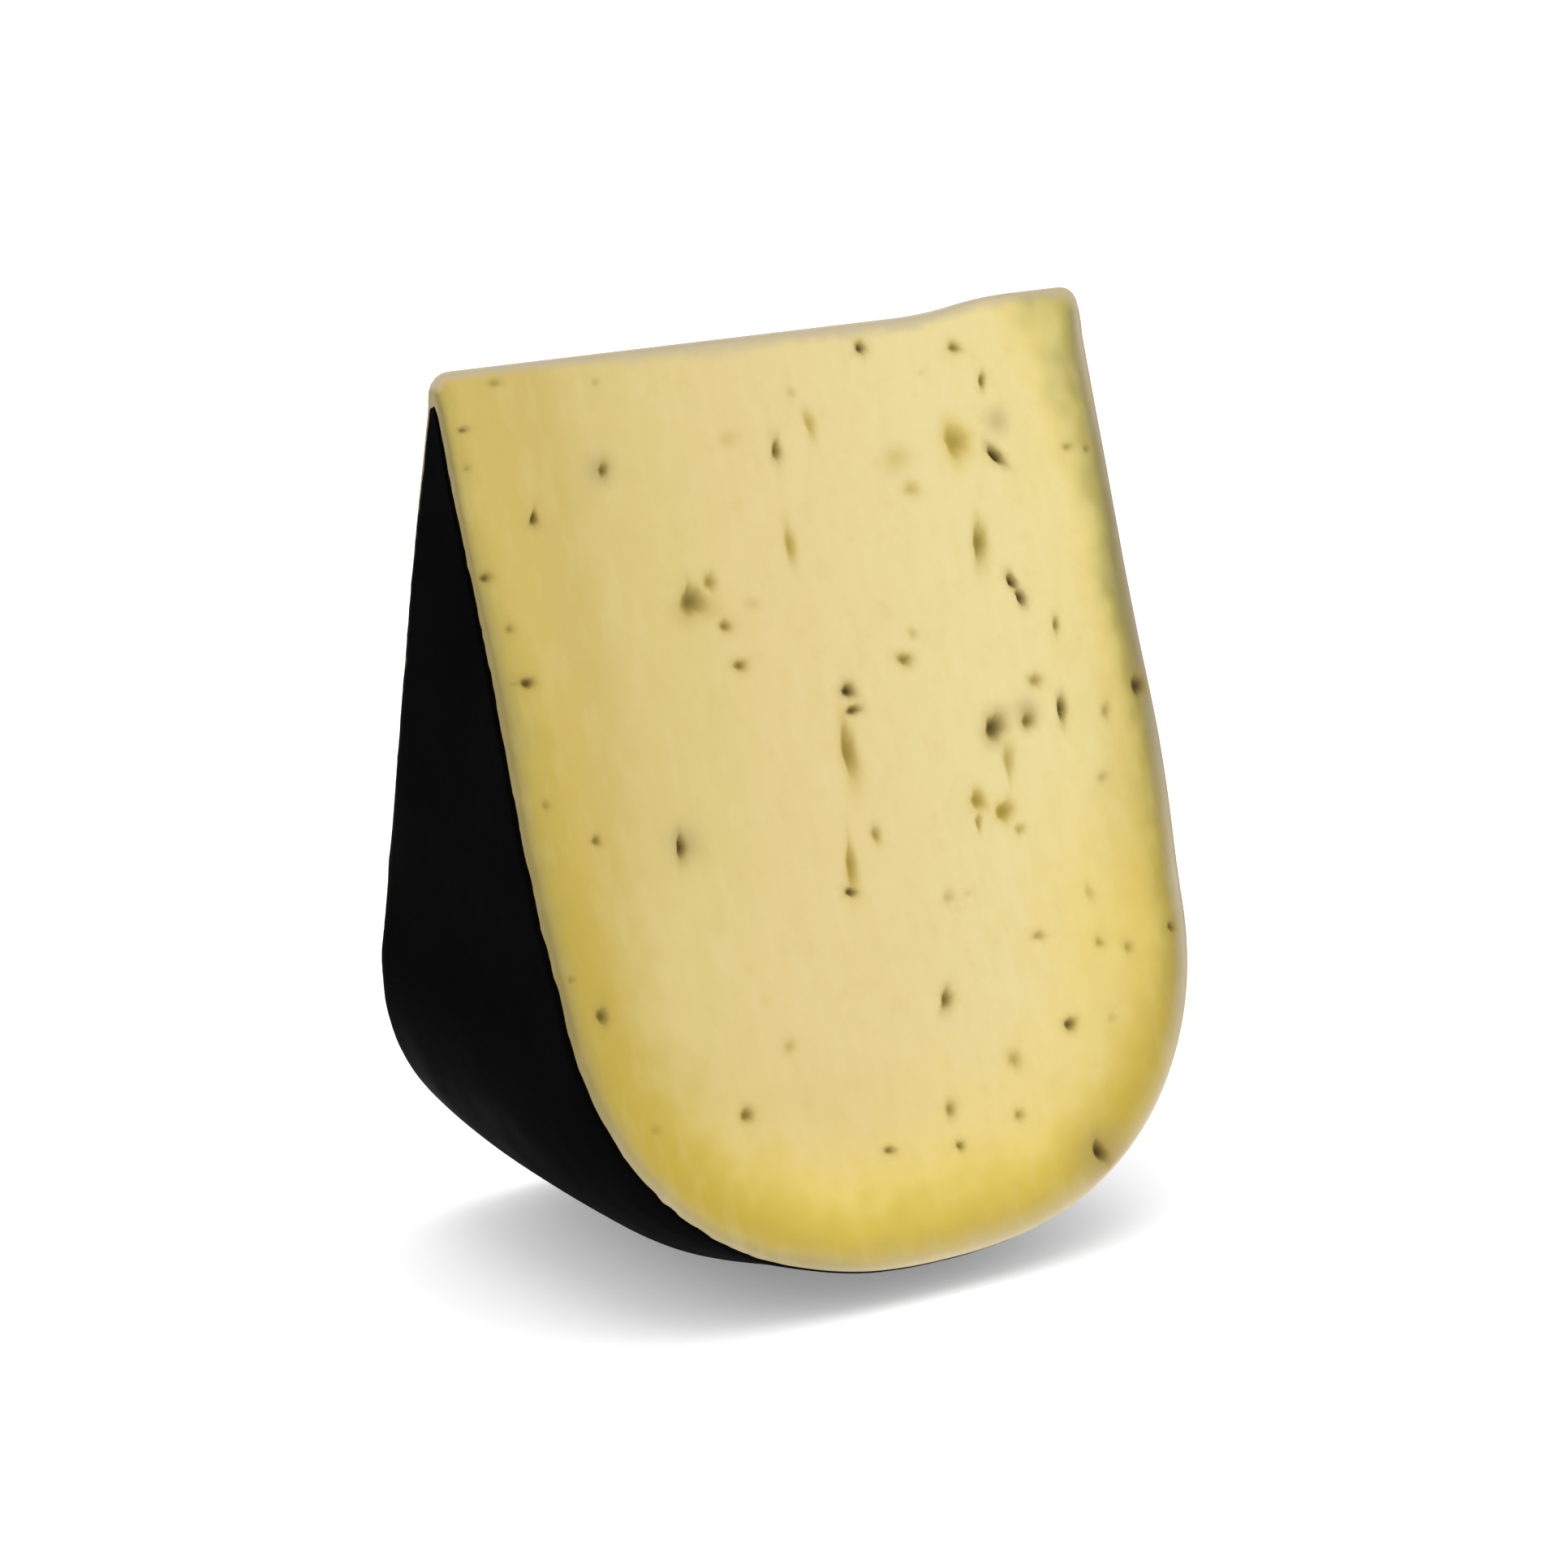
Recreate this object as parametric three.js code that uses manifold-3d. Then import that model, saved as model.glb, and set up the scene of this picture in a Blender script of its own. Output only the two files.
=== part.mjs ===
// A wedge cut from a small wheel of coated semi-hard cheese. It stands on the wheel's round side, on the
// small flat that its own weight gives it, with the cutting edge up. It is one solid piece.
// Millimetres, +Z up. X runs along the wheel's axis, the near cut faces -Y and the far cut +Y, and the
// origin is the middle of the flat that it rests on.
import * as THREE from 'three';
import { mergeGeometries, mergeVertices } from 'three/addons/utils/BufferGeometryUtils.js';
import Module from 'manifold-3d';

// The wheel that the wedge was cut from: a 4.5 kg baby wheel, 250 mm across and about 99 mm high.
const WHEEL_RADIUS = 125;
const SHOULDER_RADIUS = 85; // the sides end here and round over into the rim

// Its two sides. shoulder is the distance from the wheel's middle plane at the shoulder, dome is how much
// further out the side's middle stands, and the two curves say how square the rounding is. The wheel isn't
// true: at the near cut a side stands out by nearSwell, and by nearBulge more round BULGE_RADIUS, and it
// draws in by tipDraw at the tip.
const LEFT_SIDE = {
  sign: -1, shoulder: 47.65, dome: 1.25, sideCurve: 2.48, rimCurve: 1.98,
  nearSwell: 0.55, nearBulge: 0.9, tipDraw: 0.5,
};
const RIGHT_SIDE = {
  sign: 1, shoulder: 46.95, dome: 2.8, sideCurve: 2.3, rimCurve: 2,
  nearSwell: 0.4, nearBulge: 1.2, tipDraw: 0,
};
const BULGE_RADIUS = 66;
const BULGE_WIDTH = 18;
const TIP_DRAW_WIDTH = 14;
const DOME_POWER = 1.5; // the side is flattest in its middle

// The wedge.
const WEDGE_ANGLE = THREE.MathUtils.degToRad(35.4);
const TIP_TRIM = 2.2; // the knife-thin tip is blunted by this much
const TIP_CORNER = 2.4; // radius at both ends of the blunted tip
const TIP_HUMP = { height: 1.6, start: 20, end: 40 }; // the tip rises a little towards its right end
const FLAT_DEPTH = 1.3; // the rim is pressed flat by this much where it stands

// Two shallow dents in the left of the rim. They fade out between the two radii.
const DENTS = [
  { depth: 2, x: -38, width: 15, turn: THREE.MathUtils.degToRad(2.6), reach: 0.19 },
  { depth: 1.2, x: -20.5, width: 8, turn: THREE.MathUtils.degToRad(-12), reach: 0.08 },
];
const DENT_FADE = { from: 60, to: 90 };

// Fineness of the solid.
const SIDE_STEPS = 8;
const RIM_STEPS = 12;
const ANGLE_STEPS = 12;
const EYE_SIDES = 9;
const EYE_RINGS = 6;
const EYE_LIFT = 0.15; // an eye's middle lies this share of its depth outside the cut
const TIP_ARC_STEPS = 8;
const SPARE = 10; // what is cut away reaches this far past the wedge

// Eyes in the near cut: mm across from the middle, mm down from the tip, width, length, turn in degrees
// (clockwise is minus) and depth.
const NEAR_EYES = [
  [-27.3, 14.7, 1.6, 2.4, -20, 1.6],
  [-38.5, 19.6, 1.4, 2.6, -15, 1.4],
  [-44, 40, 2.6, 1.6, 0, 1.4],
  [-18.2, 32.9, 3.6, 4.2, 0, 2.6],
  [-14.2, 36.8, 2, 1.8, 0, 1.2],
  [-13.2, 42.1, 2, 2, 0, 1.4],
  [-1.5, 15.2, 1.4, 3.6, -15, 1.6],
  [-2.3, 27.7, 1.8, 6.2, 3, 1.4],
  [14.3, 3.4, 1.6, 1.8, 0, 1.1],
  [28.9, 4.8, 2.2, 1.8, 0, 1.2],
  [32.2, 9.6, 1.3, 2.8, -20, 1.2],
  [26.2, 17.2, 4, 4.6, 0, 2.4],
  [32, 19.8, 1.8, 3.6, 35, 2],
  [26.7, 31, 2.6, 6, -8, 2],
  [30.9, 37.9, 1.7, 5, 20, 1.8],
  [11.5, 44.8, 2.6, 2.2, -20, 1.4],
  [2.1, 48.8, 2.6, 4, 0, 1.8],
  [0.3, 56, 2.4, 8.6, -3, 2],
  [23.3, 55.6, 3.2, 4, -20, 2.6],
  [28.6, 55.5, 2.3, 2.6, 0, 1.8],
  [34.3, 54.7, 1.6, 4.2, -10, 2],
  [-27, 63.7, 1.6, 4.2, -8, 2],
  [-3, 71, 2.1, 7.4, -8, 1.6],
  [18.3, 65, 2.3, 3.6, -5, 1.8],
  [22.1, 66.8, 3, 3.4, 0, 2.2],
  [-42.8, 82.7, 2, 2.5, 0, 1.4],
  [23.5, 83.8, 2.6, 1.7, 0, 1.2],
  [7.4, 89.5, 1.9, 4.6, -22, 2],
  [25.6, 96.1, 2.2, 2.2, 0, 2],
  [-25.3, 98.6, 2.4, 2.2, 0, 1.6],
  [15.9, 99.1, 2.2, 3, 0, 1.2],
  [26.2, 113.4, 2.2, 3.8, 12, 2.2],
];

// Eyes in the far cut, spread by a rule: each value's range, and the stride that spreads it.
const FAR_EYE_COUNT = 26;
const FAR_EYE_WIDTH = { from: 1.5, to: 3.8, stride: 0.6180340 };
const FAR_EYE_STRETCH = { from: 1, to: 2.6, stride: 0.4142136 };
const FAR_EYE_ACROSS = { from: -40, to: 40, stride: 0.7548777 };
const FAR_EYE_DOWN = { from: 8, to: 102, stride: 0.5698403 };
const FAR_EYE_TURN = { from: -30, to: 30, stride: 0.2360680 };
const FAR_EYE_DEPTH = { least: 0.4, perWidth: 0.6 };

const HALF_ANGLE = WEDGE_ANGLE / 2;
const APEX_HEIGHT = WHEEL_RADIUS - FLAT_DEPTH; // the wheel's axis above the floor
const TIP_HEIGHT = APEX_HEIGHT - TIP_TRIM;

const wasm = await Module();
wasm.setup();

// Half of the wheel's section, from its axis out to the rim, as points (radius, height). They are rounded
// to 32 bits, so that the swept skin and the cuts get the very same edge.
function halfSection({ sign, shoulder, dome, sideCurve, rimCurve }) {
  const points = [];
  for (let i = 0; i < SIDE_STEPS; i += 1) {
    const radius = (SHOULDER_RADIUS * i) / SIDE_STEPS;
    const swell = dome * (1 - (radius / SHOULDER_RADIUS) ** 2) ** DOME_POWER;
    points.push(new THREE.Vector2(Math.fround(radius), Math.fround(sign * (shoulder + swell))));
  }
  for (let i = 0; i <= RIM_STEPS; i += 1) {
    const turn = (Math.PI / 2) * (i / RIM_STEPS);
    const radius = SHOULDER_RADIUS + (WHEEL_RADIUS - SHOULDER_RADIUS) * Math.sin(turn) ** (2 / rimCurve);
    const height = i === RIM_STEPS ? 0 : shoulder * Math.cos(turn) ** (2 / sideCurve);
    points.push(new THREE.Vector2(Math.fround(radius), Math.fround(sign * height)));
  }
  return points;
}

// A geometry with its shared vertices merged.
function weld(geometry) {
  geometry.deleteAttribute('normal');
  geometry.deleteAttribute('uv');
  return mergeVertices(geometry);
}

// A closed, welded geometry as a manifold solid.
function toSolid({ attributes, index }) {
  const triangles = [];
  for (let i = 0; i < index.count; i += 3) {
    const [a, b, c] = [index.getX(i), index.getX(i + 1), index.getX(i + 2)];
    if (a !== b && b !== c && c !== a) triangles.push(a, b, c);
  }
  return new wasm.Manifold(new wasm.Mesh({
    numProp: 3,
    vertProperties: new Float32Array(attributes.position.array),
    triVerts: new Uint32Array(triangles),
  }));
}

function toGeometry(solid) {
  const mesh = solid.getMesh();
  const geometry = new THREE.BufferGeometry();
  geometry.setAttribute('position', new THREE.BufferAttribute(mesh.vertProperties, 3));
  geometry.setIndex(new THREE.BufferAttribute(mesh.triVerts, 1));
  geometry.computeVertexNormals();
  return geometry;
}

function turnInsideOut(geometry) {
  const { index } = geometry;
  for (let i = 0; i < index.count; i += 3) {
    const [a, c] = [index.getX(i), index.getX(i + 2)];
    index.setX(i, c);
    index.setX(i + 2, a);
  }
  return geometry;
}

// The flat face that a cut at this angle about the wheel's axis leaves.
function cutFace(outline, angle) {
  const shape = new THREE.Shape(outline.map((point) => new THREE.Vector2(point.y, -point.x)));
  const face = new THREE.ShapeGeometry(shape);
  const { position } = face.attributes;
  for (let i = 0; i < position.count; i += 1) {
    const radius = -position.getY(i);
    position.setXYZ(i, position.getX(i), radius * Math.sin(angle), -radius * Math.cos(angle));
  }
  return face;
}

// The sector of the wheel: its section swept about the wheel's axis, and closed by the two cuts.
function wheelSector() {
  const outline = [...halfSection(LEFT_SIDE), ...halfSection(RIGHT_SIDE).slice(0, -1).reverse()];
  const swept = new THREE.LatheGeometry([...outline, outline[0]], ANGLE_STEPS, -HALF_ANGLE, WEDGE_ANGLE);
  const toWedge = new THREE.Matrix4().makeBasis(
    new THREE.Vector3(0, 1, 0),
    new THREE.Vector3(1, 0, 0),
    new THREE.Vector3(0, 0, -1),
  );
  swept.applyMatrix4(toWedge);
  const near = cutFace(outline, -HALF_ANGLE);
  const far = turnInsideOut(cutFace(outline, HALF_ANGLE));
  const sector = weld(mergeGeometries([swept, near, far]));
  makeUneven(sector);
  return sector.translate(0, 0, APEX_HEIGHT);
}

// 1 at the middle, falling off to nothing a few widths away.
function bell(value, middle, width) {
  return Math.exp(-(((value - middle) / width) ** 2));
}

// Presses the dents into the rim, and lets the sides stand out towards the near cut.
function makeUneven(geometry) {
  const { position } = geometry.attributes;
  const { clamp } = THREE.MathUtils;
  for (let i = 0; i < position.count; i += 1) {
    const point = new THREE.Vector3().fromBufferAttribute(position, i);
    const radius = Math.hypot(point.y, point.z);
    const angle = radius > 0 ? Math.atan2(point.y, -point.z) : 0;
    const side = point.x < 0 ? LEFT_SIDE : RIGHT_SIDE;
    const near = clamp((1 - angle / HALF_ANGLE) / 2, 0, 1);
    const bulge = side.nearBulge * bell(radius, BULGE_RADIUS, BULGE_WIDTH);
    const swell = near * (side.nearSwell + bulge) - side.tipDraw * bell(radius, 0, TIP_DRAW_WIDTH);
    let dent = 0;
    for (const { depth, x, width, turn, reach } of DENTS) {
      dent += depth * bell(point.x, x, width) * bell(angle, turn, reach);
    }
    const outer = clamp((radius - DENT_FADE.from) / (DENT_FADE.to - DENT_FADE.from), 0, 1);
    const scale = radius > 0 ? 1 - (dent * outer) / radius : 1;
    position.setXYZ(i, point.x * (1 + swell / side.shoulder), point.y * scale, point.z * scale);
  }
}

// How far from the middle plane a side reaches beside the tip.
function sideReach({ shoulder, dome, nearSwell, tipDraw }) {
  return (shoulder + dome) * (1 + (nearSwell - tipDraw) / shoulder);
}

// What lies above the tip: its underside is the tip's own line, round at both ends.
function tipTrim() {
  const leftEnd = -sideReach(LEFT_SIDE);
  const rightEnd = sideReach(RIGHT_SIDE);
  const humpHeight = TIP_HEIGHT + TIP_HUMP.height;
  const humpMiddle = (TIP_HUMP.start + TIP_HUMP.end) / 2;
  const shape = new THREE.Shape();
  shape.moveTo(leftEnd - SPARE, TIP_HEIGHT - TIP_CORNER);
  shape.lineTo(leftEnd, TIP_HEIGHT - TIP_CORNER);
  shape.absarc(leftEnd + TIP_CORNER, TIP_HEIGHT - TIP_CORNER, TIP_CORNER, Math.PI, Math.PI / 2, true);
  shape.lineTo(TIP_HUMP.start, TIP_HEIGHT);
  shape.bezierCurveTo(humpMiddle, TIP_HEIGHT, humpMiddle, humpHeight, TIP_HUMP.end, humpHeight);
  shape.absarc(rightEnd - TIP_CORNER, humpHeight - TIP_CORNER, TIP_CORNER, Math.PI / 2, 0, true);
  shape.lineTo(rightEnd + SPARE, humpHeight - TIP_CORNER);
  shape.lineTo(rightEnd + SPARE, APEX_HEIGHT + SPARE);
  shape.lineTo(leftEnd - SPARE, APEX_HEIGHT + SPARE);
  const settings = { depth: 2 * SPARE, bevelEnabled: false, curveSegments: TIP_ARC_STEPS };
  return weld(new THREE.ExtrudeGeometry(shape, settings)).rotateX(Math.PI / 2).translate(0, SPARE, 0);
}

// The frame of a cut: X across, Y up to the tip and Z out of the cheese, seen from outside.
function cutFrame(side) {
  const across = new THREE.Vector3(-side, 0, 0);
  const up = new THREE.Vector3(0, -side * Math.sin(HALF_ANGLE), Math.cos(HALF_ANGLE));
  const out = new THREE.Vector3(0, side * Math.cos(HALF_ANGLE), Math.sin(HALF_ANGLE));
  return new THREE.Matrix4().makeBasis(across, up, out).setPosition(0, 0, APEX_HEIGHT);
}

// An eye is an egg-shaped hole, open at the cut.
function eyeHole([across, down, width, length, turn, depth], side) {
  const lift = EYE_LIFT * depth;
  const fromAxis = down + TIP_TRIM / Math.cos(HALF_ANGLE);
  return weld(new THREE.SphereGeometry(1, EYE_SIDES, EYE_RINGS))
    .rotateX(Math.PI / 2)
    .scale(width / 2, length / 2, depth + lift)
    .rotateZ(THREE.MathUtils.degToRad(turn))
    .translate(across, -fromAxis, lift)
    .applyMatrix4(cutFrame(side));
}

// One value of a range for each index. Two ranges with different strides fill a square evenly.
function spread({ from, to, stride }, index, power = 1) {
  return THREE.MathUtils.lerp(from, to, ((0.5 + index * stride) % 1) ** power);
}

// More of the eyes are small than large, and more are round than long.
function farEyes() {
  const eyes = [];
  for (let i = 0; i < FAR_EYE_COUNT; i += 1) {
    const width = spread(FAR_EYE_WIDTH, i, 2);
    const length = width * spread(FAR_EYE_STRETCH, i, 2);
    const depth = FAR_EYE_DEPTH.least + FAR_EYE_DEPTH.perWidth * width;
    const [across, down] = [spread(FAR_EYE_ACROSS, i), spread(FAR_EYE_DOWN, i)];
    eyes.push([across, down, width, length, spread(FAR_EYE_TURN, i), depth]);
  }
  return eyes;
}

function cheeseWedge() {
  const floorSize = 2 * WHEEL_RADIUS;
  const floor = weld(new THREE.BoxGeometry(floorSize, floorSize, floorSize)).translate(0, 0, -floorSize / 2);
  let solid = toSolid(wheelSector()).subtract(toSolid(floor)).subtract(toSolid(tipTrim()));
  for (const eye of NEAR_EYES) solid = solid.subtract(toSolid(eyeHole(eye, -1)));
  for (const eye of farEyes()) solid = solid.subtract(toSolid(eyeHole(eye, 1)));
  return toGeometry(solid);
}

const paste = new THREE.MeshStandardMaterial({ color: 0xe3cf86, roughness: 0.5, metalness: 0 });
const wedge = new THREE.Mesh(cheeseWedge(), paste);
wedge.name = 'cheese_wedge';

const model = new THREE.Group();
model.add(wedge);

export default model;
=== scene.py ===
from math import cos, pi, radians, sin

import bpy
import numpy as np
from mathutils import Matrix, Vector, noise
from mathutils.geometry import delaunay_2d_cdt


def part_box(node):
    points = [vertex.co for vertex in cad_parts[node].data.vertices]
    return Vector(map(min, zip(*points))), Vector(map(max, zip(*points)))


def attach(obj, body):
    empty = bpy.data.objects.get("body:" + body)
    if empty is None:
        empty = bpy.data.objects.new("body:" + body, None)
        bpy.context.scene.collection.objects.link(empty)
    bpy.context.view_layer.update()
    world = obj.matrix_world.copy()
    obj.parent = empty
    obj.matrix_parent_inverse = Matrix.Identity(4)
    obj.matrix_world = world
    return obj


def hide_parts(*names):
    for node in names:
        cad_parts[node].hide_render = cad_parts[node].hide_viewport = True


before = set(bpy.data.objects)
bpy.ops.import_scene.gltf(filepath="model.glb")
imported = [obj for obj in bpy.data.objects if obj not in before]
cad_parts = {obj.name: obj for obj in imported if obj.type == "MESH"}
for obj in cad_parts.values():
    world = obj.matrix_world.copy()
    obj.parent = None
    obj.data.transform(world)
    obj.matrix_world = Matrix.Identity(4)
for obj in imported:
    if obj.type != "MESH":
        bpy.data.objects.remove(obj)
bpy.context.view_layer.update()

# ---------------------------------------------------------------------------------------------------------
# The cheese. A sector of a small pressed wheel of semi-hard cheese, stood on the wheel's round side with
# the cutting edge up. The curd is one firm piece: cut smooth by a knife on both long faces, a little
# domed at the wheel's two sides, dried and darker next to the rind, and full of small eyes.
# ---------------------------------------------------------------------------------------------------------

MM = 0.001
HALF_ANGLE = radians(17.7)  # each cut leans this far from the middle of the wedge
TIP_HUMP = 1.6  # the cutting edge rises by this towards its right end,
HUMP_START, HUMP_END = 20, 40  # between these places on the wheel's axis,
TIP_TRIM = 2.2  # and is blunted by this
TIP_CORNER = 2.4  # radius of its two ends
SHOULDER_RADIUS = 85  # the wheel's sides end here and round over into the rim
# The wheel's two sides: half its height at the shoulder, the dome on that, and how square the rounding is
# towards the side and towards the rim, where 2 would be an ellipse.
LEFT = dict(sign=-1, shoulder=47.65, dome=1.25, side_curve=2.48, rim_curve=1.98)
RIGHT = dict(sign=1, shoulder=46.95, dome=2.8, side_curve=2.3, rim_curve=2)
NEAR_SWELL = (0.55, 0.4)  # the left and the right side stand out by this at the near cut,
NEAR_BULGE = (0.9, 1.2)  # by this more round the bulge,
BULGE_RADIUS, BULGE_WIDTH = 66, 18
TIP_DRAW = (0.5, 0)  # and draw in by this at the tip
TIP_DRAW_WIDTH = 14
# Shallow dents in the rim: depth, mm across from the middle, width, turn about the wheel's axis, reach.
DENTS = [(2, -38, 15, radians(2.6), 0.19), (1.2, -20.5, 8, radians(-12), 0.08)]
DENT_START, DENT_FULL = 60, 90  # they fade in between these radii
# Lumps in the pressed skin, soft ones and fine ones: depth, size, seed.
SKIN_LUMPS = [(0.09, 21, 0), (0.03, 6, 7)]
SWEPT_FROM = (5, 15)  # the tip is cut level, and between these depths that turns into a true wheel's round
SKIN_CLEAR = 0.03  # everything stays this far under the solid's skin
COAT_THICKNESS = 0.25  # the curd stays this much further under it, and the coat fills the space
EDGE_ROUND = 0.3  # the knife leaves each edge this round

solid_low, solid_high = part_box("cheese_wedge")
WHEEL_RADIUS = solid_high.y / sin(HALF_ANGLE) / MM
TIP_HEIGHT = solid_high.z / MM - TIP_HUMP
AXIS_HEIGHT = TIP_HEIGHT + TIP_TRIM
TIP_ALONG_CUT = TIP_TRIM / cos(HALF_ANGLE)


def smooth_step(value, start, end):
    share = np.clip((np.asarray(value, float) - start) / (end - start), 0, 1)
    return share * share * (3 - 2 * share)


def between(start, end, share):
    return start + (end - start) * share


def fade(value, start, end):
    return 1 - smooth_step(value, start, end)


def bell(value, middle, width):
    return np.exp(-((value - middle) / width) ** 2)


SIDE_STEPS, ROUNDING_STEPS = 90, 160
CORNER_STEPS, HUMP_STEPS = 14, 30
LEAST_STEP = 0.02  # points closer than this are one


def half_section(sign, shoulder, dome, side_curve, rim_curve):
    """One side of the wheel's section, from under the tip corner to the middle of the rim: x, depth."""
    depth = np.linspace(TIP_TRIM + TIP_CORNER, SHOULDER_RADIUS, SIDE_STEPS, endpoint=False)
    side = shoulder + dome * (1 - (depth / SHOULDER_RADIUS) ** 2) ** 1.5
    turn = np.linspace(0, pi / 2, ROUNDING_STEPS)
    rim_depth = SHOULDER_RADIUS + (WHEEL_RADIUS - SHOULDER_RADIUS) * np.sin(turn) ** (2 / rim_curve)
    rim = shoulder * np.clip(np.cos(turn), 0, 1) ** (2 / side_curve)
    return np.column_stack([sign * np.append(side, rim), np.append(depth, rim_depth)])


def tip_section():
    """The cutting edge from its right corner to its left one: x, depth."""
    left_end = LEFT["sign"] * (LEFT["shoulder"] + LEFT["dome"])
    right_end = RIGHT["sign"] * (RIGHT["shoulder"] + RIGHT["dome"])
    turn = np.linspace(0, pi / 2, CORNER_STEPS)
    right = np.column_stack([
        right_end - TIP_CORNER * (1 - np.cos(turn)),
        TIP_TRIM - TIP_HUMP + TIP_CORNER * (1 - np.sin(turn)),
    ])
    # The hump's slope is a cubic curve that leaves and meets the edge level.
    share = np.linspace(1, 0, HUMP_STEPS)
    bow = 3 * share * (1 - share)
    hump_x = HUMP_START + (HUMP_END - HUMP_START) * (share ** 3 + bow / 2)
    hump = np.column_stack([hump_x, TIP_TRIM - TIP_HUMP * (share ** 3 + bow * share)])
    left = np.column_stack([
        left_end + TIP_CORNER * (1 - np.sin(turn)),
        TIP_TRIM + TIP_CORNER * (1 - np.cos(turn)),
    ])
    return np.vstack([right, hump, left])


def closed_outline():
    """The wedge's section down the left side, round the rim, up the right side and back along the tip."""
    points = np.vstack([half_section(**LEFT), half_section(**RIGHT)[-2::-1], tip_section()])
    apart = np.append(True, np.hypot(*np.diff(points, axis=0).T) > LEAST_STEP)
    points = points[apart]
    return np.vstack([points, points[:1]])


OUTLINE_STEP = 0.25
NORMAL_REACH = 3  # each outward direction is evened out over this many points on both sides

outline = closed_outline()
outline_way = np.append(0, np.cumsum(np.hypot(*np.diff(outline, axis=0).T)))
section_length = outline_way[-1]
fine_way = np.linspace(0, section_length, round(section_length / OUTLINE_STEP) + 1)
fine_x = np.interp(fine_way, outline_way, outline[:, 0])
fine_depth = np.interp(fine_way, outline_way, outline[:, 1])


def round_about(values, count):
    """Each value averaged with its neighbours along the closed outline."""
    ring = values[:-1]
    wide = np.concatenate([ring[-count:], ring, ring[:count]])
    mean = np.convolve(wide, np.ones(2 * count + 1) / (2 * count + 1), mode="valid")
    return np.append(mean, mean[0])


def outward_normals():
    """Which way is out at each point of the fine outline: across and down."""
    along_x = np.roll(fine_x[:-1], -1) - np.roll(fine_x[:-1], 1)
    along_depth = np.roll(fine_depth[:-1], -1) - np.roll(fine_depth[:-1], 1)
    length = np.hypot(along_x, along_depth)
    across = np.append(-along_depth / length, -along_depth[0] / length[0])
    deep = np.append(along_x / length, along_x[0] / length[0])
    return round_about(across, NORMAL_REACH), round_about(deep, NORMAL_REACH)


normal_x, normal_depth = outward_normals()


def field(size, seed, x, y, z=None):
    """Soft noise of -1 to 1 whose lumps are about size mm across."""
    places = zip(x, y, np.full(len(x), 1.0) if z is None else z)
    return np.array([noise.noise(Vector((a / size + seed, b / size, c / size))) for a, b, c in places])


def unevenness(x, y, z):
    """How far the pressed wheel's skin sinks under its true curve, in mm."""
    return sum(depth * (1 + field(size, seed, x, y, z)) for depth, size, seed in SKIN_LUMPS)


def swelling(x, radius, angle):
    """How far a side stands out from the true wheel, in mm."""
    left = x < 0
    near = np.clip((1 - angle / HALF_ANGLE) / 2, 0, 1)
    bulge = np.where(left, *NEAR_BULGE) * bell(radius, BULGE_RADIUS, BULGE_WIDTH)
    draw = np.where(left, *TIP_DRAW) * bell(radius, 0, TIP_DRAW_WIDTH)
    return near * (np.where(left, *NEAR_SWELL) + bulge) - draw


def skin(way, angle, inset):
    """Points inset mm under the wedge's outside: way round its section, angle about the wheel's axis."""
    way, angle, inset = np.broadcast_arrays(way, angle, inset)
    shape = way.shape
    way, angle, inset = way.ravel() % section_length, angle.ravel(), inset.ravel() + SKIN_CLEAR
    x = np.interp(way, fine_way, fine_x)
    depth = np.interp(way, fine_way, fine_depth)
    swept = smooth_step(depth, *SWEPT_FROM)
    sunk = inset + swept * unevenness(x, depth * np.sin(angle), depth * np.cos(angle))
    x = x - sunk * np.interp(way, fine_way, normal_x)
    depth = depth - sunk * np.interp(way, fine_way, normal_depth)
    radius = depth / np.cos(angle) ** (1 - swept)
    dent = sum(size * bell(x, across, width) * bell(angle, turn, reach)
               for size, across, width, turn, reach in DENTS)
    dent = dent * np.clip((radius - DENT_START) / (DENT_FULL - DENT_START), 0, 1)
    x = x * (1 + swelling(x, radius, angle) / np.where(x < 0, LEFT["shoulder"], RIGHT["shoulder"]))
    radius = radius - dent
    z = np.maximum(AXIS_HEIGHT - radius * np.cos(angle), inset)  # it stands on a small flat
    return np.column_stack([x, radius * np.sin(angle), z]).reshape(*shape, 3)


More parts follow.
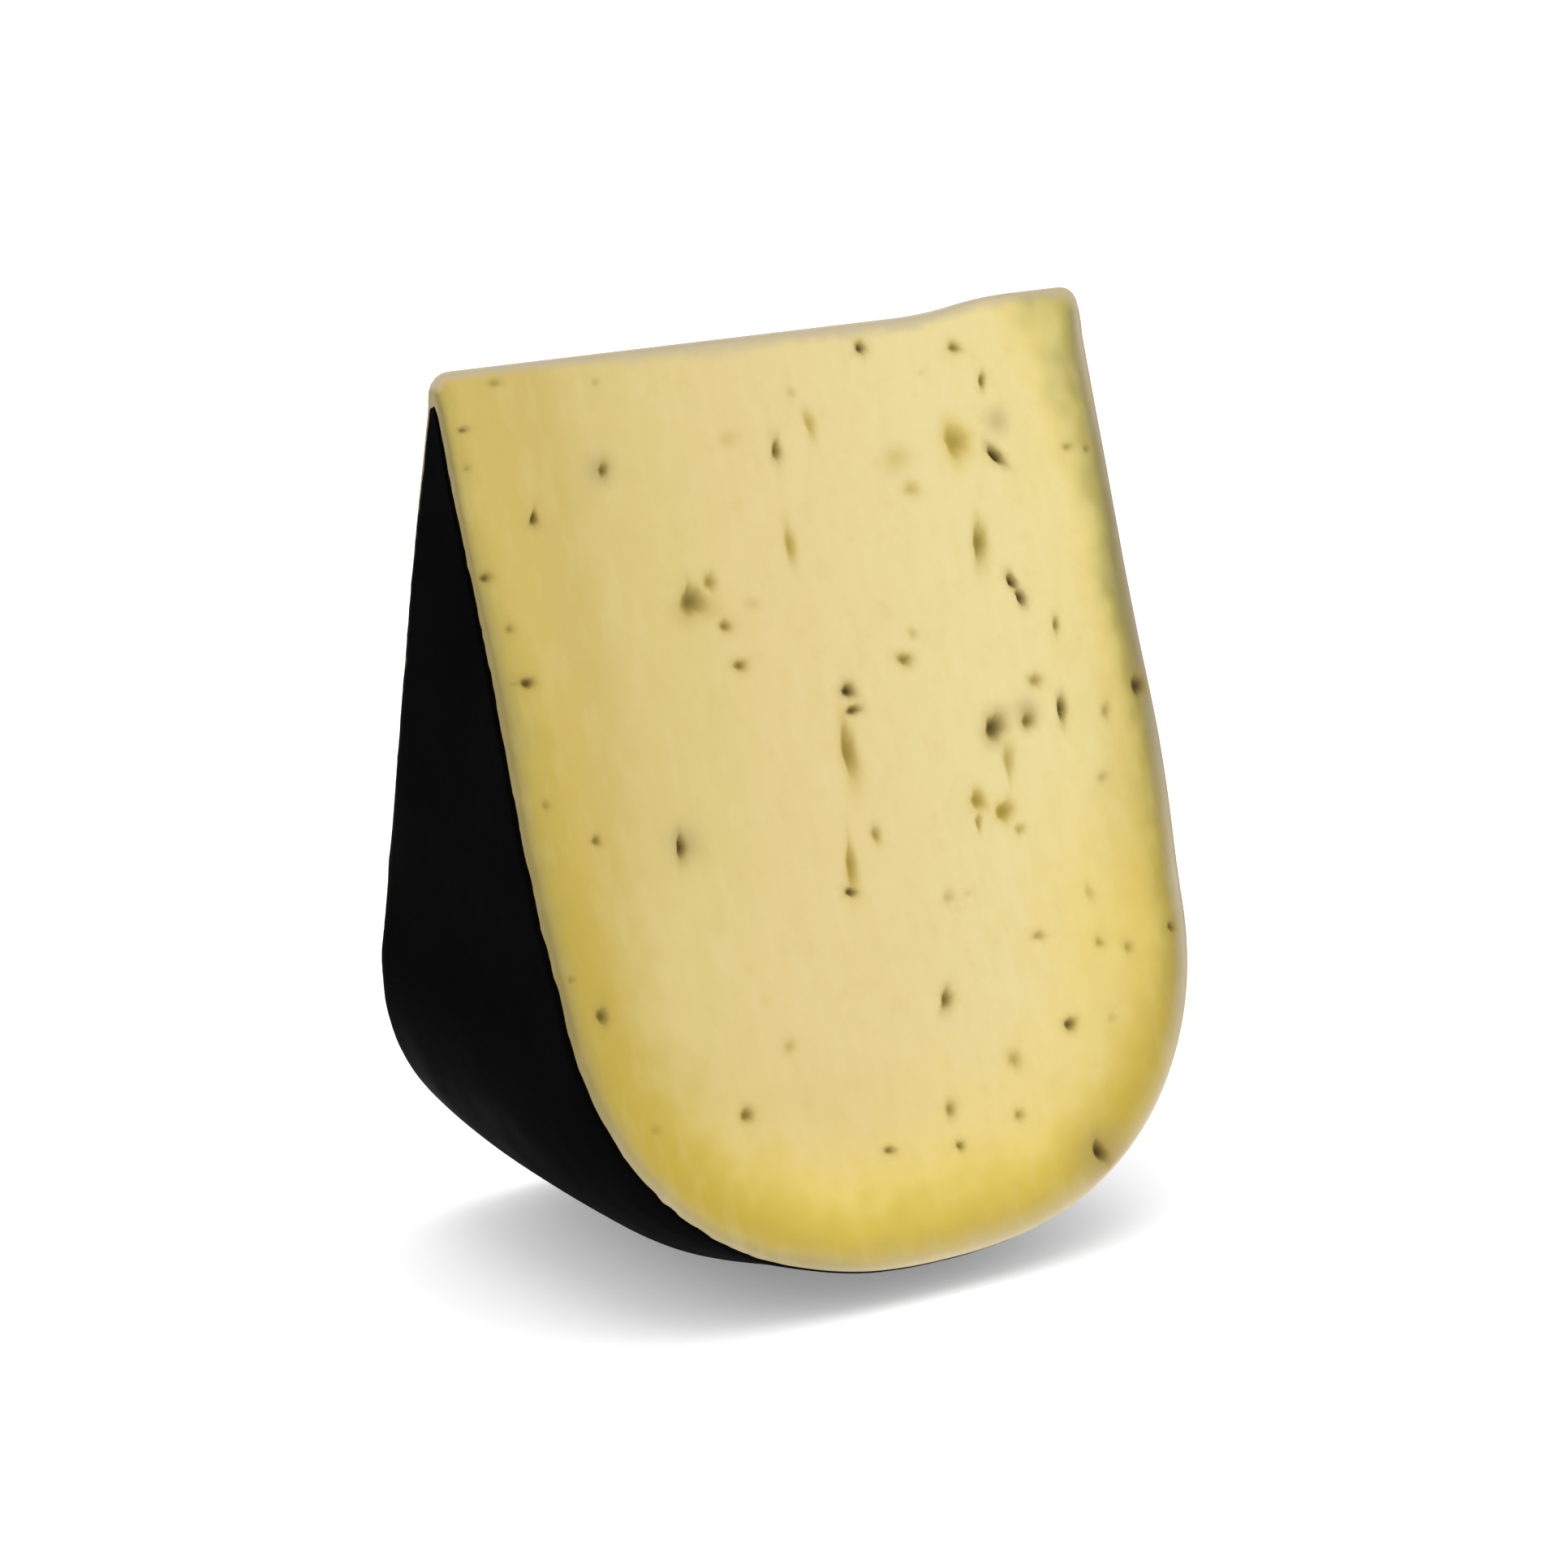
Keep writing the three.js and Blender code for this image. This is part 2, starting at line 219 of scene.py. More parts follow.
# Eyes in the near cut: mm across from the middle, mm down from the tip, width, length, lean to the right
# in degrees, depth, how dark the painted shade on the wall is from olive to black, and how much they
# narrow upwards.
NEAR_EYES = [
    (-27.3, 14.7, 1.6, 2.2, 20, 1.3, 0.55, 0),
    (-38.5, 19.6, 1.3, 2.5, 15, 1.4, 0.8, 0.5),
    (-44, 40, 2.6, 1.6, 0, 1.4, 0.85, 0),
    (-45.8, 39.9, 2.2, 0.7, 0, 0.4, 0.3, 0),
    (-18.2, 32.9, 4.1, 4.8, 0, 2.6, 0.45, 0.6),
    (-15.2, 30.9, 1.9, 2.9, 20, 0.9, 0.25, 0),
    (-14.2, 36.8, 2.2, 1.8, 0, 1.0, 0.35, 0),
    (-13.2, 42.1, 2.1, 1.9, 0, 1.1, 0.45, 0),
    (-1.5, 15.2, 1.5, 3.5, 15, 1.4, 0.6, 0),
    (-2.3, 27.7, 1.7, 5.8, 3, 0.85, 0.13, 0),
    (4.3, 12.3, 1.7, 4.6, -5, 0.72, 0.12, 0),
    (14.3, 3.2, 1.8, 1.9, 0, 1.2, 0.85, 0),
    (28.9, 4.7, 2.3, 1.7, 0, 1.0, 0.42, 0),
    (32.2, 9.6, 1.15, 2.7, 12, 1.1, 0.5, 0),
    (26.2, 17.2, 4.4, 5, 0, 2.3, 0.1, 0.1),
    (32, 19.8, 1.8, 3.6, -35, 2.4, 1, 0),
    (17.8, 22.7, 3, 2.4, 0, 0.6, 0.1, 0),
    (16.3, 18.5, 4.2, 4.2, 0, 0.5, 0.07, 0),
    (26.7, 31, 2.6, 6, 8, 1.8, 0.3, 0.2),
    (30.5, 36.8, 1.5, 2.8, -18, 1.8, 0.9, 0),
    (31.4, 39.1, 1.6, 2.8, -18, 1.8, 0.9, 0),
    (36.1, 43.5, 1.2, 2.7, 10, 0.9, 0.36, 0),
    (11.5, 44.8, 2.5, 2.2, 20, 1.1, 0.35, 0),
    (13.5, 41.6, 1.8, 1.8, 0, 0.5, 0.12, 0),
    (2, 47.6, 2.4, 2.1, 0, 1.7, 1, 0),
    (2.2, 50.2, 2.7, 1.5, 0, 1.4, 0.7, 0),
    (0.3, 55.4, 2.4, 9.2, 3, 1.9, 0.25, 0),
    (31, 50.4, 2.4, 2.3, 0, 0.8, 0.26, 0),
    (23.3, 55.6, 3.2, 4.6, 25, 2.7, 0.8, 0),
    (28.6, 55.5, 2.2, 2.8, 10, 1.4, 0.5, 0),
    (34.3, 54.7, 1.6, 4.2, 10, 2, 0.8, 0),
    (41.2, 56, 1.8, 2.5, 0, 0.65, 0.28, 0),
    (47.2, 53.4, 2.6, 3.9, 0, 1.8, 0.95, 0),
    (24.3, 60.2, 1.9, 6, 5, 0.75, 0.14, -0.4),
    (-27, 63.7, 1.5, 4, 8, 1.8, 0.8, 0),
    (-2.8, 70, 1.9, 7.2, 8, 1.2, 0.18, 0.6),
    (-3.6, 73.4, 2.2, 1.5, 0, 1.5, 0.75, 0),
    (1.8, 66.7, 1.6, 2.6, 0, 0.8, 0.3, 0),
    (18.4, 64.7, 2.5, 3.3, 0, 1.6, 0.14, 0.2),
    (17.8, 67.6, 1.1, 3.2, 10, 0.8, 0.15, -0.5),
    (22.1, 66.8, 3, 3.2, 0, 2, 0.08, 0),
    (23.9, 69.5, 1.9, 1.8, 0, 0.65, 0.15, 0),
    (-42.8, 82.7, 2.1, 2.7, 0, 1.5, 0.62, 0),
    (23.5, 83.8, 2.4, 1.6, 0, 0.7, 0.22, 0),
    (7.4, 89.5, 1.7, 3.8, 22, 1.5, 0.55, 0),
    (25.6, 96.1, 2.2, 2.1, 0, 1.6, 0.65, 0),
    (15.9, 99.1, 2.3, 3, 0, 0.7, 0.18, 0),
    (-25.3, 98.6, 2.4, 2.1, 0, 1.3, 0.45, 0),
    (4.6, 103.6, 1.8, 2.5, 0, 0.8, 0.38, 0),
    (5, 108.5, 1.5, 1.6, 0, 0.9, 0.45, 0),
    (14.9, 106.3, 2, 1.7, 0, 0.7, 0.32, 0),
    (-5.6, 107, 2.1, 1.2, 15, 0.9, 0.5, 0),
    (26.2, 113.4, 2.2, 3.8, -12, 2.2, 0.9, 0),
    (-46, 7.4, 1.8, 1.1, 0, 0.7, 0.75, 0),
    (-46.5, 12.3, 1.3, 1.3, 0, 0.45, 0.45, 0),
    (-47, 26.2, 2.2, 1.6, 0, 0.9, 0.8, 0),
    (-45, 33, 1.6, 1.6, 0, 0.6, 0.55, 0),
    (-44.8, 55.5, 1.6, 1.8, 0, 0.6, 0.4, 0),
    (-38.8, 61, 1.5, 1.8, 0, 0.9, 0.5, 0),
    (-40.3, 2, 2.6, 1.4, 0, 0.6, 0.35, 0),
    (-26, 3.5, 1.2, 1.2, 0, 0.4, 0.25, 0),
    (-9.5, 34.6, 2.8, 1.8, 20, 0.4, 0.12, 0),
    (-8.5, 13, 3.6, 2.4, 0, 0.42, 0.08, 0),
    (23, 7.5, 1.1, 1.1, 0, 0.3, 0.1, 0),
    (2.5, 8, 1.6, 1.7, 0, 0.42, 0.16, 0),
    (43.7, 20, 1.8, 1.3, 0, 0.6, 0.35, 0),
    (46.7, 20.6, 1.5, 1.4, 0, 0.6, 0.45, 0),
    (38.5, 64.7, 1.8, 1.8, 0, 0.5, 0.3, 0),
    (10.8, 76.5, 2, 2, 0, 0.5, 0.2, 0),
    (13.8, 76.5, 1.2, 1.2, 0, 0.3, 0.1, 0),
    (32.7, 79.5, 1.5, 2.5, 0, 0.5, 0.2, 0),
    (32.7, 86.3, 1.6, 1.6, 0, 0.6, 0.35, 0),
    (37.1, 87.7, 1.8, 1.7, 0, 0.6, 0.35, 0),
    (44.6, 86.2, 1.5, 2, 0, 1, 0.65, 0),
    (-46.2, 77.5, 1.3, 1.4, 0, 0.6, 0.4, 0),
    (-17.2, 91.3, 2, 2, 0, 0.5, 0.2, 0),
    (-38.6, 98, 2, 1.8, 0, 0.5, 0.25, 0),
    (32.2, 96.5, 1.5, 1.5, 0, 0.4, 0.2, 0),
]

# Soft grey painted shade where an eye lies just under a cut: mm across, mm down, size.
NEAR_SHADOWS = [(-27.9, 14.6, 5), (33.3, 15.2, 4.4), (-26.4, 63.4, 5.6), (26.8, 114, 10.5), (28.6, 54.2, 4.6)]
FAR_SHADOWS = [(-20.5, 46, 5), (12, 70, 6), (31, 24, 4.5), (-34, 88, 5)]

FAR_EYE_COUNT = 26
FAR_PINHOLE_COUNT = 44
# Steps that never fall into line with one another, one for each measure of the far cut's eyes.
WIDTH_STRIDE, STRETCH_STRIDE, LEAN_STRIDE = 0.6180340, 0.4142136, 0.2360680
PLACE_STRIDES = (0.7548777, 0.5698403)


def spread_share(index, stride):
    """Shares from 0 to 1 that fill the whole range evenly."""
    return (0.5 + index * stride) % 1


def far_eyes():
    """The far cut's eyes: the larger ones by the solid's own rule, and pinholes between them."""
    eyes = []
    for i in range(FAR_EYE_COUNT):
        width = between(1.5, 3.8, spread_share(i, WIDTH_STRIDE) ** 2)
        stretch = 1 + 1.6 * spread_share(i, STRETCH_STRIDE) ** 2
        across = between(-40, 40, spread_share(i, PLACE_STRIDES[0]))
        down = between(8, 102, spread_share(i, PLACE_STRIDES[1]))
        lean = -between(-30, 30, spread_share(i, LEAN_STRIDE))
        depth = 0.6 * width + 0.4
        dark = between(0.85, 0.1, smooth_step(width, 1.8, 3.6))
        eyes.append((across, down, width, width * stretch, lean, depth, dark, 0))
    for i in range(FAR_PINHOLE_COUNT):
        width = between(1.0, 1.9, spread_share(i, WIDTH_STRIDE))
        across = between(-46, 46, spread_share(i, PLACE_STRIDES[1]))
        down = between(3, 112, spread_share(i, PLACE_STRIDES[0]))
        dark = between(0.1, 0.6, spread_share(i, STRETCH_STRIDE))
        eyes.append((across, down, width, width * 1.2, 0, 0.3 + dark, dark, 0))
    return eyes


EYE_SEED = 1000
EYE_WAVES = (2, 3, 5, 7)  # waves round an eye's edge
WAVE_LEAST, WAVE_MOST = 0.02, 0.26  # their height, as shares of the eye, lower for the shorter waves
ROUND_END, POINTED_END = 2, 1.7  # a short eye is an ellipse, and a long one has pointed ends


class Eye:
    """One eye, an uneven hollow that opens at the cut."""

    def __init__(self, row, index):
        self.across, down, width, length, lean, self.depth, self.dark, self.narrow = row
        self.down = down + TIP_ALONG_CUT
        self.half_width, self.half_length = width / 2, length / 2
        self.lean = radians(lean)
        self.pointed = between(ROUND_END, POINTED_END, float(smooth_step(length / width, 1.6, 3)))
        draw = np.random.default_rng(EYE_SEED + index).uniform
        self.waves = [(k, draw(0, 2 * pi), draw(WAVE_LEAST, WAVE_MOST / k)) for k in EYE_WAVES]

    def share(self, across, down):
        """How far out a point lies: 0 in the middle, 1 at the edge."""
        right, low = across - self.across, down - self.down
        side = (right * cos(self.lean) + low * sin(self.lean)) / self.half_width
        up = (right * sin(self.lean) - low * cos(self.lean)) / self.half_length
        side = side / (1 - self.narrow * np.clip(up, -1, 1) * 0.8)
        turn = np.arctan2(up, side)
        wavy = 1 + sum(size * np.cos(k * turn + start) for k, start, size in self.waves)
        plain = np.abs(np.cos(turn)) ** self.pointed + np.abs(np.sin(turn)) ** self.pointed
        return np.hypot(side, up) * plain ** (1 / self.pointed) / wavy


LOOSE_STEP = 0.85  # mm between the points of a cut,
FINE_STEP = 0.26  # and between those at an eye
EYE_REACH = 1.7  # points lie close together out to this share of an eye,
LOOSE_GAP = 0.3  # and the loose ones start this many mm farther out
POINT_JITTER = 0.04
JITTER_SEED = 7
BORDER_ROW = 0.3  # mm inside the border that its own row of points lies,
BORDER_GAP = 2.2  # and the others keep this many times as far away


def loose_grid(step, low, high):
    """Staggered rows of points over a rectangle, on places that every such grid of that step shares."""
    steps = np.array([step, 0.87 * step])
    first, last = np.floor(low / steps), np.ceil(high / steps)
    i, j = np.meshgrid(np.arange(first[0], last[0] + 1), np.arange(first[1], last[1] + 1))
    return np.column_stack([(i + 0.5 * (j % 2)).ravel(), j.ravel()]) * steps


def cut_points(eyes, border, side):
    """Points over a cut, close together at the eyes and loose between them, all inside the border, with a
    row along the border that keeps its colours even."""
    along = np.roll(border, -1, axis=0) - np.roll(border, 1, axis=0)
    inwards = side * np.column_stack([-along[:, 1], along[:, 0]]) / np.hypot(*along.T)[:, None]
    row = border + BORDER_ROW * inwards
    fine, loose = [], loose_grid(LOOSE_STEP, border.min(axis=0), border.max(axis=0))
    for eye in eyes:
        reach = EYE_REACH * max(eye.half_width, eye.half_length) + 1
        middle = np.array([eye.across, eye.down])
        patch = loose_grid(FINE_STEP, middle - reach, middle + reach)
        fine.append(patch[eye.share(*patch.T) < EYE_REACH])
        size = np.sqrt(eye.half_width * eye.half_length)
        loose = loose[eye.share(*loose.T) > EYE_REACH + LOOSE_GAP / size]
    fine = np.vstack(fine)
    _, first = np.unique(np.round(fine, 3), axis=0, return_index=True)
    points = np.vstack([fine[np.sort(first)], loose])
    points += np.random.default_rng(JITTER_SEED).uniform(-POINT_JITTER, POINT_JITTER, points.shape)
    edge, inside = border_distance(points, np.vstack([border, border[:1]]))
    return np.vstack([row, points[inside & (edge > BORDER_GAP * BORDER_ROW)]])


def border_distance(points, line):
    """The distance of each point to a line, and whether it lies inside it where the line is closed."""
    best = np.full(len(points), 1e9)
    crossings = np.zeros(len(points), int)
    for a, b in zip(line[:-1], line[1:]):
        d = b - a
        share = np.clip(((points - a) @ d) / (d @ d), 0, 1)
        best = np.minimum(best, np.hypot(*(points - a - share[:, None] * d).T))
        if d[1] != 0:
            level = (points[:, 1] >= min(a[1], b[1])) & (points[:, 1] < max(a[1], b[1]))
            crossings += level & (points[:, 0] < a[0] + (points[:, 1] - a[1]) * d[0] / d[1])
    return best, crossings % 2 == 1


KNIFE_LEAN = 8  # degrees from the vertical that the knife's strokes lean
DISH_DEPTH, RIDGE_HEIGHT, GRAIN_HEIGHT = 0.16, 0.022, 0.012  # mm


def knife_marks(across, down):
    """How far the knife left the cut hollow, in mm: a slow dish, shallow ridges along the stroke, grain."""
    lean = radians(KNIFE_LEAN)
    side = across * cos(lean) + down * sin(lean)
    along = down * cos(lean) - across * sin(lean)
    slow = field(26, 3, side, along / 2)
    ridges = field(3.2, 8, side, along / 14)
    grain = field(1.8, 1, across, down)
    return DISH_DEPTH * (1 + slow) + RIDGE_HEIGHT * ridges + GRAIN_HEIGHT * grain


HOLLOW_SHARE = 0.55  # an eye is sunk by this share of its depth, and painted shade on its wall does the rest
ROLLED_EDGE = 0.05  # mm that the knife rolls an eye's mouth over


def eye_relief(eyes, across, down):
    """For each point of a cut: how deep the eyes sink it, how much painted shade their walls put on it and
    how dark that is, how much painted shade it gets round a dark eye, and how near it is to a light one.
    share is 1 at an eye's edge."""
    sink = np.zeros(len(across))
    wall_shade, dark, shade_halo, glow = sink.copy(), sink.copy(), sink.copy(), sink.copy()
    for eye in eyes:
        near = np.hypot(across - eye.across, down - eye.down) < 3 * max(eye.half_width, eye.half_length)
        share = eye.share(across[near], down[near])
        hollow = HOLLOW_SHARE * eye.depth * np.clip(1 - share ** 2, 0, 1) ** 1.5
        rolled = ROLLED_EDGE * np.clip(1 - (share - 0.9) / 0.6, 0, 1) ** 2
        sink[near] = np.maximum(sink[near], hollow + rolled)
        # Painted shade on the eye's walls, darkest towards its middle.
        cover = bell(share, 0, 0.92) * smooth_step(eye.depth, 0.1, 1.0)
        covers = cover > wall_shade[near]
        dark[near] = np.where(covers, eye.dark * (1 - 0.6 * smooth_step(share, 0.1, 0.9)), dark[near])
        wall_shade[near] = np.maximum(wall_shade[near], cover)
        # Painted shade round the mouth of a dark eye.
        shade_halo[near] = np.maximum(shade_halo[near], fade(share, 0.8, 2) * eye.dark)
        light = 0.5 * smooth_step(eye.depth, 1, 2) * fade(eye.dark, 0.1, 0.3)
        glow[near] = np.maximum(glow[near], fade(share, 0.9, 1.7) * light)
    return sink, wall_shade, dark, shade_halo, glow


MARK_SOFTNESS = 0.41  # a soft mark's spread, as a share of its size


# Painted shade: how strongly each point lies in one of the soft grey marks.
def soft_marks(marks, across, down):
    total = np.zeros(len(across))
    for mark_across, mark_down, size in marks:
        away = np.hypot(across - mark_across, down - mark_down - TIP_ALONG_CUT)
        total = np.maximum(total, bell(away, 0, MARK_SOFTNESS * size))
    return total


ACROSS_RANGE = 100  # mm that the curd's colours across the wheel span
RIND_RANGE = 32  # mm that its colours beside the rind span


def dried_depth(x, depth, from_rind, from_tip, right):
    """How far from the rind each point looks to be, in mm. At the top the bands of colour lie closer
    together on the left and farther apart on the right, where the whole corner has dried as well."""
    left_rind = from_rind * (1 + 1.1 * fade(depth, 8, 46))
    left_rind += 1.1 * fade(depth, 12, 34) * bell(from_rind, 1, 0.6)
    right_rind = from_rind * (1 - 0.08 * fade(depth, 6, 30))
    right_rind += between(0.5, -0.2, smooth_step(depth, 28, 46)) * bell(from_rind, 2, 1.2)
    right_rind -= 1.8 * fade(depth, 14, 30) * smooth_step(from_rind, 3, 7)
    corner = 3 + 0.27 * from_tip + 20 * fade(x, 22, 42)
    return np.minimum(between(left_rind, right_rind, right), corner)


def ageing(x, depth, from_rind, from_tip):
    """Where each point lies in what colours the curd, each from 0 to 1. Lengths are in mm."""
    jitter = 1 + 0.18 * field(2.6, 5, x, depth) + 0.15 * field(9, 2, x, depth)
    right = smooth_step(x, -14, 14)
    rind = dried_depth(x, depth, from_rind, from_tip, right) * jitter

    # The rim's own colours start low down, and at the left they stop short of the rind.
    low = smooth_step(depth + 0.1 * np.abs(x), 90, 118)
    low = low * (1 - 0.5 * fade(x, -24, 0) * fade(rind, 0.5, 2.5))

    # The dried band is wide at the rim and narrow at the sides.
    side_age = between(fade(rind, 4, 15), fade(rind, 4, 11), right)
    low_age = fade(rind, 16, 34)

    # Deeper yellow beside both sides, pale crust at the right rind, and gold inside that, low down.
    beside = fade(rind, 4, 16) * smooth_step(rind, 0, 3) * smooth_step(np.abs(x), 12, 34)
    crust = 0.8 * fade(depth, 8, 32) + smooth_step(depth, 50, 84) * (1 - low)
    inner = smooth_step(rind, 3, 8) * fade(rind, 14, 30)

    # The left half's colours draw towards the middle lower down, and the tip is greyer in patches.
    narrower = np.where(x < 0, 1 - 0.35 * smooth_step(depth, 55, 92), 1)
    wander = 1.5 * field(14, 11, x, depth / 3)
    patchy = jitter + 0.4 * field(1.7, 21, x, depth) + 0.9 * fade(x, -36, -16)
    return {
        "across": np.clip((x * narrower + wander) / ACROSS_RANGE + 0.5, 0, 1),
        "rind": np.clip(rind / RIND_RANGE, 0, 1),
        "right": right,
        "low": low,
        "aged": between(side_age, low_age, low),
        "deep": smooth_step(depth, 30, 86) * beside,
        "pale": right * crust * fade(rind, 0.2, 2.1),
        "gold": right * inner * smooth_step(depth, 62, 88) * (1 - low),
        "tip": fade(from_tip * patchy, 0.1, 1.9),
    }


SECTION_STEP = 1.0
EDGE_ROWS = (0, 0.3, 1)  # rows over the rounded edge, as shares of its width
INNER_ROWS = 26
COVER_FADE = 3  # mm over which the curd sinks under the coat, below the tip
SMOOTH_ANGLE = 40  # degrees up to which two faces meet smoothly


def curd_belt():
    """The curd's outside between its two cuts, as rows of points from the near cut to the far one."""
    way = np.linspace(0, section_length, round(section_length / SECTION_STEP), endpoint=False)
    depth = np.interp(way, fine_way, fine_depth)
    half_arc = depth * HALF_ANGLE
    rounding = np.minimum(EDGE_ROUND, 0.4 * half_arc)
    tip_end = TIP_TRIM + TIP_CORNER
    covered = COAT_THICKNESS * smooth_step(depth, tip_end, tip_end + COVER_FADE)
    edge = [(share * rounding, rounding * (1 - np.sqrt(1 - (1 - share) ** 2))) for share in EDGE_ROWS]
    rows = [skin(way, -HALF_ANGLE * (1 - gap / half_arc), covered + drop) for gap, drop in edge]
    for share in np.linspace(-1, 1, INNER_ROWS)[1:-1]:
        rows.append(skin(way, share * HALF_ANGLE * (1 - rounding / half_arc), covered))
    rows += [skin(way, HALF_ANGLE * (1 - gap / half_arc), covered + drop) for gap, drop in edge[::-1]]
    return np.array(rows)


def on_cut(side, across, down, sink):
    """Points of a cut, sink mm under its plane. side is -1 at the near cut and 1 at the far one."""
    y = side * (down * sin(HALF_ANGLE) - sink * cos(HALF_ANGLE))
    z = AXIS_HEIGHT - down * cos(HALF_ANGLE) - sink * sin(HALF_ANGLE)
    return np.column_stack([-side * across, y, z])


def make_mesh(name, points, faces):
    mesh = bpy.data.meshes.new(name)
    mesh.from_pydata((points * MM).tolist(), [], faces)
    mesh.shade_smooth()
    mesh.set_sharp_from_angle(angle=radians(SMOOTH_ANGLE))
    mesh.validate()
    piece = bpy.data.objects.new(name, mesh)
    bpy.context.scene.collection.objects.link(piece)
    return piece


def belt_looks(points):
    """How the curd has aged on its outside, which is rind but for the cutting edge, and drier on the
    right."""
    nothing = np.zeros(len(points))
    depth = np.hypot(points[:, 1], AXIS_HEIGHT - points[:, 2])
    from_tip = np.where(depth < TIP_TRIM + TIP_CORNER, 0, depth)
    dry = between(0.15, 0.7, smooth_step(points[:, 0], -14, 14)) * fade(depth, 85, 110)
    dry[from_tip == 0] = 0
    aged = ageing(points[:, 0], depth, nothing, from_tip)
    return dict(aged, dry=dry, wall_shade=nothing, dark=nothing, shade_halo=nothing, shadow=nothing)


FAR_SEED_SHIFT = 200  # keeps the far eyes' edges unlike the near ones'
LEVEL_MARGIN = 5  # mm from a cut's border over which the knife marks fade in


def make_cut(side, table, marks, edge):
    """One cut inside its edge, a ring of the belt's points. Gives its own points, its triangles, which
    number the edge's points first and then its own, and how it has aged."""
    seed_shift = FAR_SEED_SHIFT if side > 0 else 0
    eyes = [Eye(row, index + seed_shift) for index, row in enumerate(table)]
    border = np.column_stack([-side * edge[:, 0], np.hypot(edge[:, 1], AXIS_HEIGHT - edge[:, 2])])
    inner = cut_points(eyes, border, side)
    flat = [Vector((a, -d)) for a, d in np.vstack([border, inner])]
    ring = [(i, (i + 1) % len(border)) for i in range(len(border))]
    _, _, triangles, source, _, _ = delaunay_2d_cdt(flat, ring, [], 1, 1e-5)
    triangles = [[source[k][0] for k in triangle] for triangle in triangles]
    across, down = inner.T
    sink, wall_shade, dark, shade_halo, glow = eye_relief(eyes, across, down)
    under_coat = border[:, 1] > TIP_TRIM + TIP_CORNER
    from_rind = border_distance(inner, border[under_coat])[0]
    from_tip = border_distance(inner, border[~under_coat])[0]
    from_border = np.minimum(from_rind, from_tip)
    relief = knife_marks(across, down) * smooth_step(from_border, 0, LEVEL_MARGIN) + sink
    aged = ageing(-side * across, down, from_rind, from_tip)
    aged["gold"] = np.maximum(aged["gold"], glow)
    shadow = soft_marks(marks, across, down)
    looks = dict(aged, dry=0 * across, wall_shade=wall_shade, dark=dark, shade_halo=shade_halo, shadow=shadow)
    return on_cut(side, across, down, relief), triangles, looks


def make_curd():
    """The curd as one closed mesh, with how it has aged and where its eyes are kept on its points."""
    belt = curd_belt()
    rows, columns = belt.shape[:2]
    points = [belt.reshape(-1, 3)]
    looks = [belt_looks(points[0])]
    faces = []
    for j in range(rows - 1):
        for i in range(columns):
            a, b = j * columns + i, j * columns + (i + 1) % columns
            faces.append((a, a + columns, b + columns, b))
    total = rows * columns
    for side, table, marks in ((-1, NEAR_EYES, NEAR_SHADOWS), (1, far_eyes(), FAR_SHADOWS)):
        first = 0 if side < 0 else (rows - 1) * columns
        inner, triangles, inner_looks = make_cut(side, table, marks, points[0][first:first + columns])
        for triangle in triangles:
            faces.append(tuple(first + k if k < columns else total + k - columns for k in triangle))
        points.append(inner)
        looks.append(inner_looks)
        total += len(inner)
    piece = make_mesh("curd", np.vstack(points), faces)
    for name in looks[0]:
        layer = piece.data.attributes.new(name, "FLOAT", "POINT")
        values = np.concatenate([part[name] for part in looks])
        layer.data.foreach_set("value", values.astype(np.float32))
    return piece


def linear(hex_colour):
    """An sRGB colour such as "e8d896" as the linear colour that the shader takes."""
    channels = [int(hex_colour[i:i + 2], 16) / 255 for i in (0, 2, 4)]
    return (*[c / 12.92 if c <= 0.04045 else ((c + 0.055) / 1.055) ** 2.4 for c in channels], 1)


def add_node(material, kind, links=None, values=None, stops=None, **settings):
    """Adds a node. links feed its sockets, values and stops fill its sockets and its colour ramp, and
    settings are its own properties."""
    tree = material.node_tree
    node = tree.nodes.new(kind)
    for name, value in settings.items():
        setattr(node, name, value)
    for socket, value in (values or {}).items():
        node.inputs[socket].default_value = value
    for socket, source in (links or {}).items():
        tree.links.new(source, node.inputs[socket])
    for k, (position, colour) in enumerate(stops or []):
        elements = node.color_ramp.elements
        stop = elements[k] if k < len(elements) else elements.new(position)
        stop.position = position
        stop.color = linear(colour)
    return node


# A colour Mix node's two colour sockets and its result.
UNDER, OVER, MIXED = 6, 7, 2

MOTTLE_SIZE, GRAIN_SIZE = 3.2, 0.6  # mm across the curd's cloudy patches and its grain
STROKE_WIDTH, STROKE_STRETCH = 2.2, 25  # mm across the knife's streaks, and how many times as long they are

# Colours by mm from the wheel's middle plane, minus on the left.
HEART_COLOURS = [(-42, "bba456"), (-38, "bba55b"), (-34, "bba55d"), (-30, "c1ae6c"), (-22, "c6b473"),
                 (-8, "cdb97f"), (0, "cfbc82"), (22, "d4c48a"), (40, "d5c585")]
# Colours by mm from the rind: on the wheel's left side, on its right side, and at its rim.
LEFT_COLOURS = [(0, "82743e"), (0.5, "83753c"), (0.9, "908245"), (1.3, "988a47"), (2, "a29148"),
                (3, "ad9a4b"), (5, "b6a14f"), (8, "bda759"), (16, "bea65e")]
RIGHT_COLOURS = [(0, "978d76"), (0.5, "887e60"), (1, "81764c"), (1.5, "847948"), (2, "8e8346"),
                 (3, "a69950"), (4, "bfb169"), (5, "cbba6f"), (6, "d1be74"), (8, "d6c480"), (10, "d6c587")]
LOW_COLOURS = [(0, "c1b491"), (0.5, "b9a97b"), (0.9, "b7a469"), (2, "b6a04d"), (3, "b8a142"),
               (5, "c2aa3f"), (8, "cdb654"), (10, "d3bd61"), (16, "d8c077"), (31, "d5c385")]
# Colours of the painted shade on an eye's wall, by how dark it looks.
EYE_SHADE_COLOURS = [(0, "b09a35"), (0.35, "8c7928"), (0.65, "6c580d"), (1, "352306")]


